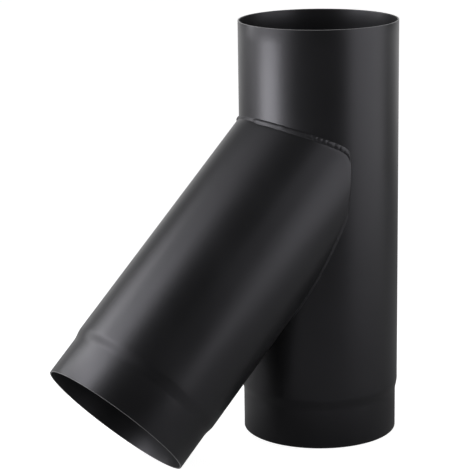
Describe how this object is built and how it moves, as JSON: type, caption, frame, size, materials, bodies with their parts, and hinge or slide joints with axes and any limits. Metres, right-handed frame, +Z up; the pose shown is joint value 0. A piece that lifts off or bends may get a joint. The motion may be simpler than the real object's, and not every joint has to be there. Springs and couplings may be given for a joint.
{
  "type": "stove pipe tee",
  "caption": "Black steel stove pipe tee with a slanted branch welded to a straight run; a socket at the top and a swaged spigot on the run and on the branch.",
  "frame": {"origin": "centre of the run's lower end, in the plane that the tee stands on", "axes": "+Z up along the run towards its top socket, -X towards the slanted branch, +Y to the back as the branch points left"},
  "size_m": [0.3671, 0.154, 0.4035],
  "materials": {
    "run_paint": "satin black heat-resistant paint",
    "branch_paint": "satin black heat-resistant paint",
    "weld_paint": "satin black heat-resistant paint over a rippled weld"
  },
  "bodies": {
    "root": {"run_pipe": "run_paint", "branch_pipe": "branch_paint", "weld_bead": "weld_paint"}
  },
  "joints": []
}
